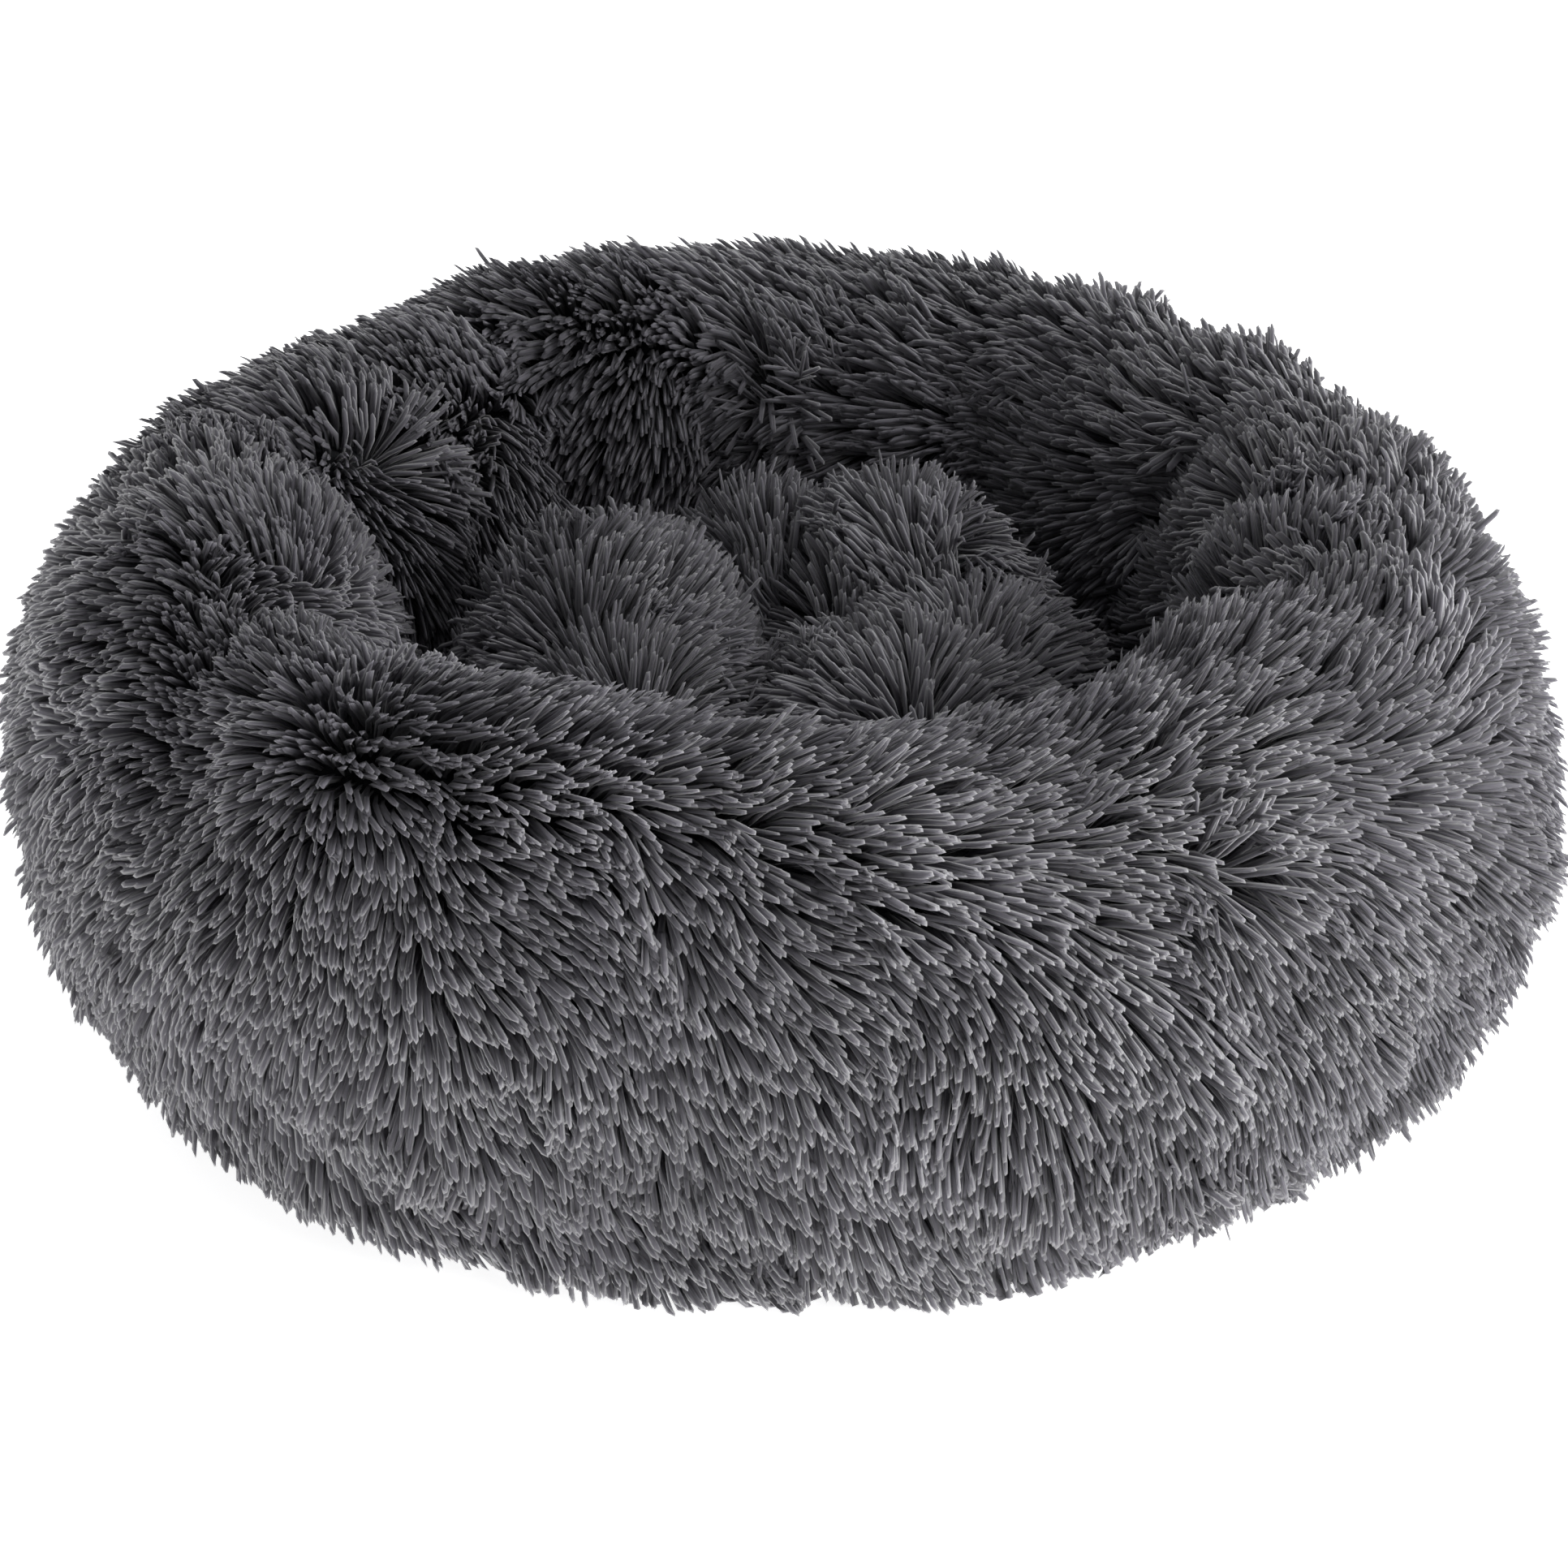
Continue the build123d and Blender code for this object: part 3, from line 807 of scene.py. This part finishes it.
weave_height = spread(group, cross, 0.0, 1.0, -1.0, 1.0)
thread_shade = spread(group, cross, 0.82, 1.14, -1.0, 1.0)
shade = maths(group, "MULTIPLY", thread_shade, spread(group, uneven.outputs["Fac"], 0.8, 1.2))
wire(group, weave_height, put.inputs["Height"])
wire(group, shade, put.inputs["Shade"])
plain_weave = group


def woven_cloth(name, colour, threads, depth, rough=0.85):
    """A material of plain-woven cloth with that many threads to the metre."""
    material, tree, shader = paint_set(name, colour, rough)
    weave = tree.nodes.new("ShaderNodeGroup")
    weave.node_tree = plain_weave
    weave.inputs["Threads per metre"].default_value = threads
    shaded(tree, colour, weave.outputs["Shade"], shader.inputs["Base Color"])
    raised(tree, weave.outputs["Height"], depth, shader)
    return material


grey_cloth = woven_cloth("grey_woven_cloth", (0.045, 0.047, 0.053), 900, 0.00025)
skin_bm = bmesh.new()
skin_bm.from_mesh(cushion_skin.data)
cushion_tree = BVHTree.FromBMesh(skin_bm)
covers = (("cushion_skin_top", 1, "cushion_top_cover", knit, "fur_cloth"),
          ("cushion_skin_bottom", -1, "cushion_bottom_cover", grey_cloth, "plain_cloth"))
for name, side, node, material, slot_name in covers:
    half = skin_bm.copy()
    everything = half.verts[:] + half.edges[:] + half.faces[:]
    cut = {"plane_co": (0, 0, cushion_seam), "plane_no": (0, 0, side), "clear_inner": True}
    bmesh.ops.bisect_plane(half, geom=everything, dist=1e-6, **cut)
    piece = show(half, name)
    piece.data.materials.append(material)
    backing = piece.modifiers.new("cloth", "SOLIDIFY")
    backing.thickness = 0.0012
    backing.offset = -1
    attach(piece, "cushion")
    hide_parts(node)
skin_bm.free()
bpy.data.objects.remove(cushion_skin)

stuffing = show(cushion_body(64, 36, 0.004), "cushion_stuffing")
stuffing.data.materials.append(fleece)
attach(stuffing, "cushion")
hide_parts("cushion_filling")

# ---------------------------------------------------------------- cushion pile
# The same plush as the ring's. It opens round the tie and fans out over each
# lobe, and elsewhere it lies towards the back.

polars = np.linspace(0, math.pi / 2 + 0.05, 400)
line = cushion_points(np.zeros(len(polars)), polars)
line_radius = np.hypot(line[:, 0], line[:, 1])
line_step = np.linalg.norm(np.diff(line, axis=0), axis=1)
band_area = 2 * math.pi * 0.5 * (line_radius[1:] + line_radius[:-1]) * line_step
area_run = np.concatenate([[0], np.cumsum(band_area)])
number = int(area_run[-1] / (lock_spacing * row_gap))
share = (np.arange(number) + 0.5) / number
golden = math.pi * (3 - math.sqrt(5))
azimuths = np.arange(number) * golden + rng.normal(0, 0.012, number)
polar_at = np.interp(share * area_run[-1], area_run, polars)
roots = []
normals = []
for aim in cushion_points(azimuths, polar_at):
    way = (Vector(aim) - cushion_core).normalized()
    spot, normal, _, _ = cushion_tree.ray_cast(cushion_core, way)
    if spot is not None:
        roots.append(spot)
        normals.append(normal if normal.dot(way) > 0 else -normal)
roots = np.array(roots)
normals = unit(np.array(normals))
count = len(roots)
flow = normals * np.array([1, 1, 0]) * 0.7 + np.array([0.0, 0.35, 0.35])
for middle, distance, half_width, _ in lobes:
    lobe_x = distance * math.cos(math.radians(middle))
    lobe_y = distance * math.sin(math.radians(middle))
    beside = (roots[:, 0] - lobe_x) / half_width
    behind = (roots[:, 1] - lobe_y) / half_width
    share = np.exp(-(beside**2 + behind**2) / 1.7)
    flow[:, 0] += 1.2 * beside * share
    flow[:, 1] += (0.5 + 0.5 * behind) * share
by_tie = np.exp(-((roots[:, 0] ** 2 + roots[:, 1] ** 2) / 0.032**2))
flow[:, :2] += roots[:, :2] / 0.02 * by_tie[:, None]
flow = unit(flow) + drift(roots, 0.07, 21) * 0.36 + drift(roots, 0.03, 22) * 0.42
flow += drift(roots, 0.010, 26) * 0.20 + rng.normal(size=(count, 3)) * 0.12
cushion_lock_length = 0.0265
cushion_lock_half_width = 0.00116
length = cushion_lock_length * (1 - 0.3 * by_tie + rng.normal(0, 0.09, count))
length = np.clip(length, 0.014, 0.034)
lean = np.stack([rng.normal(0.32, 0.08, count), rng.normal(1.22, 0.12, count)], -1)
lean = np.clip(lean + 0.20 * drift(roots, 0.04, 24)[:, :1], 0.03, 1.35)
width = cushion_lock_half_width * (1 + rng.normal(0, 0.14, count))
width = width * np.where(rng.uniform(size=count) < thin_share, thin_width, 1.0)
tone = 0.60 + 0.10 * drift(roots, 0.05, 25)[:, 0] + rng.normal(0, 0.08, count)
tone = np.clip(tone, 0, tone_top)
azimuth = np.arctan2(roots[:, 1], roots[:, 0])
for part, mine in enumerate((azimuth >= 0, azimuth < 0)):
    locks = (flow[mine], length[mine], lean[mine], width[mine], tone[mine])
    piece = grow_pile(f"cushion_pile_{part + 1}", roots[mine], normals[mine], locks)
    piece.data.materials.append(plush)
    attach(piece, "cushion")

# ---------------------------------------------------------------- cushion tie and patch
# A waxed twisted thread runs down through the cushion, from a small flat head
# in the pile to a disc of felt under it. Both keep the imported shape.

black_thread, tree, shader = paint_set("waxed_thread", (0.03, 0.03, 0.033), 0.5)
place_node = tree.nodes.new("ShaderNodeTexCoord")
twist = tree.nodes.new("ShaderNodeTexWave")
twist.bands_direction = "DIAGONAL"
twist.inputs["Scale"].default_value = 260.0
twist.inputs["Distortion"].default_value = 0.4
wire(tree, place_node.outputs["Object"], twist.inputs["Vector"])
shaded(tree, (0.03, 0.03, 0.033), spread(tree, twist.outputs["Fac"], 0.6, 1.3), shader.inputs["Base Color"])
raised(tree, twist.outputs["Fac"], 0.0002, shader)
felt = fibre_cloth("black_felt", (0.03, 0.03, 0.033), 0.0012, 0.9, 0.0003)
for node, material in (("cushion_tie", black_thread), ("cushion_tie_patch", felt)):
    nodes[node].data.materials.clear()
    nodes[node].data.materials.append(material)

# ---------------------------------------------------------------- floor panel and wadding
# Under the cushion a disc of plain grey cloth is sewn to the ring's inner edge.
# A thin pad of white wadding lies between it and the base cloth.

panel_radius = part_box("floor_panel")[1][0]
panel_thickness = 0.0010
bm = bmesh.new()
bmesh.ops.create_circle(bm, cap_ends=True, segments=96, radius=panel_radius)
for step in range(11):
    inner_faces = [face for face in bm.faces if len(face.verts) > 4]
    bmesh.ops.inset_region(bm, faces=inner_faces, thickness=panel_radius / 12)
bmesh.ops.poke(bm, faces=[face for face in bm.faces if len(face.verts) > 4])
for v in bm.verts:
    radius = math.hypot(v.co.x, v.co.y)
    ease = min(1.0, (panel_radius - radius) / 0.03)
    ripple = math.sin(v.co.x * 61 + 1.0) * math.sin(v.co.y * 53 + v.co.x * 17)
    v.co.z = floor_top - 0.0006 + ease * 0.0005 * ripple
panel = show(bm, "floor_cloth")
thickness = panel.modifiers.new("cloth", "SOLIDIFY")
thickness.thickness = panel_thickness
thickness.offset = -1
panel.data.materials.append(grey_cloth)
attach(panel, "nest")
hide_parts("floor_panel")

wadding_low, wadding_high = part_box("base_wadding")
wadding_radius = wadding_high[0]
wadding_thickness = wadding_high[2] - wadding_low[2]
bm = bmesh.new()
bmesh.ops.create_uvsphere(bm, u_segments=96, v_segments=24, radius=1.0)
for v in bm.verts:
    flat = math.hypot(v.co.x, v.co.y)
    turn = math.atan2(v.co.y, v.co.x)
    radius = (wadding_radius - 0.001) * flat ** 0.35 if flat > 1e-6 else 0.0
    soft = 1 + 0.01 * math.sin(7 * turn) + 0.008 * math.sin(11 * turn + 2)
    rise = math.copysign(abs(v.co.z) ** 0.5, v.co.z) * 0.5 * (wadding_thickness - 0.001)
    v.co = (
        radius * math.cos(turn) * min(soft, 1.0),
        radius * math.sin(turn) * min(soft, 1.0),
        0.5 * (wadding_low[2] + wadding_high[2]) + rise,
    )
wadding = show(bm, "wadding_pad")
wadding.data.materials.append(fleece)
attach(wadding, "nest")
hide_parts("base_wadding")

# ---------------------------------------------------------------- base cloth
# The underside is coated black cloth, flat on the floor, lifted at its edge and
# cut back for the zip. Rows of printed rubber dots keep it from sliding.

black_cloth = woven_cloth("coated_base_cloth", (0.020, 0.020, 0.022), 700, 0.00015, rough=0.6)
dot_rise = 0.0004
bm = bmesh.new()
bm.from_mesh(nodes["base_cloth"].data)
bmesh.ops.remove_doubles(bm, verts=bm.verts, dist=1e-6)
for v in bm.verts:
    v.co.z += dot_rise if v.co.z < 0.0005 else 0.0
base = show(bm, "base_sheet")
for face in base.data.polygons:
    face.use_smooth = False
base.data.materials.append(black_cloth)
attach(base, "nest")
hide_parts("base_cloth")

rubber_colour = (0.035, 0.035, 0.037)
rubber, tree, shader = paint_set("grip_rubber", rubber_colour, 0.45)
place_node = tree.nodes.new("ShaderNodeTexCoord")
skin_noise = tree.nodes.new("ShaderNodeTexNoise")
skin_noise.inputs["Scale"].default_value = 900.0
wire(tree, place_node.outputs["Object"], skin_noise.inputs["Vector"])
mottle = spread(tree, skin_noise.outputs["Fac"], 0.8, 1.2)
shaded(tree, rubber_colour, mottle, shader.inputs["Base Color"])
raised(tree, skin_noise.outputs["Fac"], 0.00008, shader)
dot_spacing = 0.012
dot_radius = 0.0016
dot_reach = 0.186
dot_columns = 17
dot_shape = {"radius1": 0.7 * dot_radius, "radius2": dot_radius}
bm = bmesh.new()
rows = int(dot_reach / (dot_spacing * math.sqrt(3) / 2))
for row in range(-rows, rows + 1):
    for column in range(-dot_columns, dot_columns + 1):
        x = (column + 0.5 * (row % 2)) * dot_spacing
        y = row * dot_spacing * math.sqrt(3) / 2
        if math.hypot(x, y) < dot_reach:
            disc = bmesh.ops.create_cone(bm, cap_ends=True, segments=8, depth=dot_rise, **dot_shape)["verts"]
            bmesh.ops.translate(bm, verts=disc, vec=(x, y, 0.5 * dot_rise))
dots = show(bm, "grip_dots")
dots.data.materials.append(rubber)
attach(dots, "nest")

# ---------------------------------------------------------------- zip
# A nylon coil zip closes half of the base seam: two woven tapes, two rows of
# coil sewn to them, metal stops, and a lacquered slider with a plain pull.

tape_cloth = woven_cloth("zip_tape_weave", (0.020, 0.020, 0.022), 1400, 0.00012)
for node in ("zip_tape_inner", "zip_tape_outer"):
    nodes[node].data.materials.clear()
    nodes[node].data.materials.append(tape_cloth)

nylon, tree, shader = paint_set("black_nylon", (0.025, 0.025, 0.027), 0.32)
place_node = tree.nodes.new("ShaderNodeTexCoord")
drawn = tree.nodes.new("ShaderNodeTexNoise")
drawn.inputs["Scale"].default_value = 500.0
wire(tree, place_node.outputs["Object"], drawn.inputs["Vector"])
nylon_mottle = spread(tree, drawn.outputs["Fac"], 0.8, 1.25)
shaded(tree, (0.025, 0.025, 0.027), nylon_mottle, shader.inputs["Base Color"])
coil_low, coil_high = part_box("zip_coil_outer")
coil_start = math.radians(-2.0)
coil_sweep = math.radians(172.0)
coil_middle = 0.5 * (coil_low[2] + coil_high[2])
coil_half_width = 0.0012
turn_pitch = 0.0016
wire_radius = 0.00036
for node in ("zip_coil_inner", "zip_coil_outer"):
    row_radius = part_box(node)[1][1] - coil_half_width
    bm = bmesh.new()
    bmesh.ops.create_circle(bm, segments=5, radius=wire_radius)
    bmesh.ops.rotate(bm, verts=bm.verts, matrix=Matrix.Rotation(math.pi / 2, 3, "X"))
    bmesh.ops.translate(bm, verts=bm.verts, vec=(1.0, 0, 0))
    ring = bm.verts[:] + bm.edges[:]
    spin = {"axis": (0, 0, 1), "cent": (0, 0, 0), "steps": 10, "angle": 2 * math.pi}
    bmesh.ops.spin(bm, geom=ring, use_merge=True, **spin)
    bmesh.ops.recalc_face_normals(bm, faces=bm.faces)
    for v in bm.verts:
        reach = math.hypot(v.co.x, v.co.y)
        thick = reach - 1.0
        turn = math.atan2(v.co.y, v.co.x)
        half_out = coil_half_width - wire_radius + thick
        half_up = 0.5 * (coil_high[2] - coil_low[2]) - wire_radius + thick
        v.co = (half_out * math.cos(turn), v.co.z, half_up * math.sin(turn))
    link = bm.copy()
    bm.clear()
    number = int(coil_sweep * row_radius / turn_pitch)
    source = bpy.data.meshes.new("zip_link")
    link.to_mesh(source)
    link.free()
    for index in range(number):
        before = len(bm.verts)
        bm.from_mesh(source)
        bm.verts.ensure_lookup_table()
        turn = coil_start + coil_sweep * (index + 0.5) / number
        placed = Matrix.Rotation(turn, 4, "Z") @ Matrix.Translation((row_radius, 0, coil_middle))
        bmesh.ops.transform(bm, matrix=placed, verts=bm.verts[before:])
    coil = show(bm, node + "_turns")
    coil.data.materials.append(nylon)
    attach(coil, "nest")
    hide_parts(node)

lacquer, tree, shader = paint_set("black_lacquered_zinc", (0.05, 0.05, 0.055), 0.3)
shader.inputs["Metallic"].default_value = 0.6
shader.inputs["Coat Weight"].default_value = 0.4
place_node = tree.nodes.new("ShaderNodeTexCoord")
wear = tree.nodes.new("ShaderNodeTexNoise")
wear.inputs["Scale"].default_value = 350.0
wear.inputs["Detail"].default_value = 4.0
wire(tree, place_node.outputs["Object"], wear.inputs["Vector"])
shaded(tree, (0.05, 0.05, 0.055), spread(tree, wear.outputs["Fac"], 0.75, 1.4), shader.inputs["Base Color"])
wire(tree, spread(tree, wear.outputs["Fac"], 0.2, 0.45), shader.inputs["Roughness"])
for node in ("zip_closed_stops", "zip_open_stop", "zip_slider_body", "zip_pull_tab"):
    nodes[node].data.materials.clear()
    nodes[node].data.materials.append(lacquer)

# ---------------------------------------------------------------- care label
# A blank folded tab of white satin tape is sewn under the edge of the base.

satin, tree, shader = paint_set("white_satin", (0.75, 0.75, 0.73), 0.4)
place_node = tree.nodes.new("ShaderNodeTexCoord")
thread = tree.nodes.new("ShaderNodeTexWave")
thread.inputs["Scale"].default_value = 900.0
thread.inputs["Distortion"].default_value = 0.3
wire(tree, place_node.outputs["Object"], thread.inputs["Vector"])
shaded(tree, (0.75, 0.75, 0.73), spread(tree, thread.outputs["Fac"], 0.9, 1.05), shader.inputs["Base Color"])
raised(tree, thread.outputs["Fac"], 0.00005, shader)
label_angle = math.radians(203.6)
label_outer = base_seam_radius - 0.004
label_size = (0.020, 0.029)
label_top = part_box("care_label")[1][2]
bm = bmesh.new()
bmesh.ops.create_grid(bm, x_segments=10, y_segments=12, size=0.5)
for v in bm.verts:
    x = label_outer - label_size[0] * (v.co.x + 0.5)
    sag = 0.0012 * (v.co.x + 0.5) ** 2 + 0.0003 * math.sin(9 * v.co.y) * (v.co.x + 0.5)
    v.co = (x, label_size[1] * v.co.y, label_top - 0.0001 - sag)
bmesh.ops.recalc_face_normals(bm, faces=bm.faces)
bmesh.ops.rotate(bm, verts=bm.verts, matrix=Matrix.Rotation(label_angle, 3, "Z"))
label = show(bm, "label_tab")
thickness = label.modifiers.new("cloth", "SOLIDIFY")
thickness.thickness = 0.0004
thickness.offset = 0
label.data.materials.append(satin)
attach(label, "nest")
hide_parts("care_label")
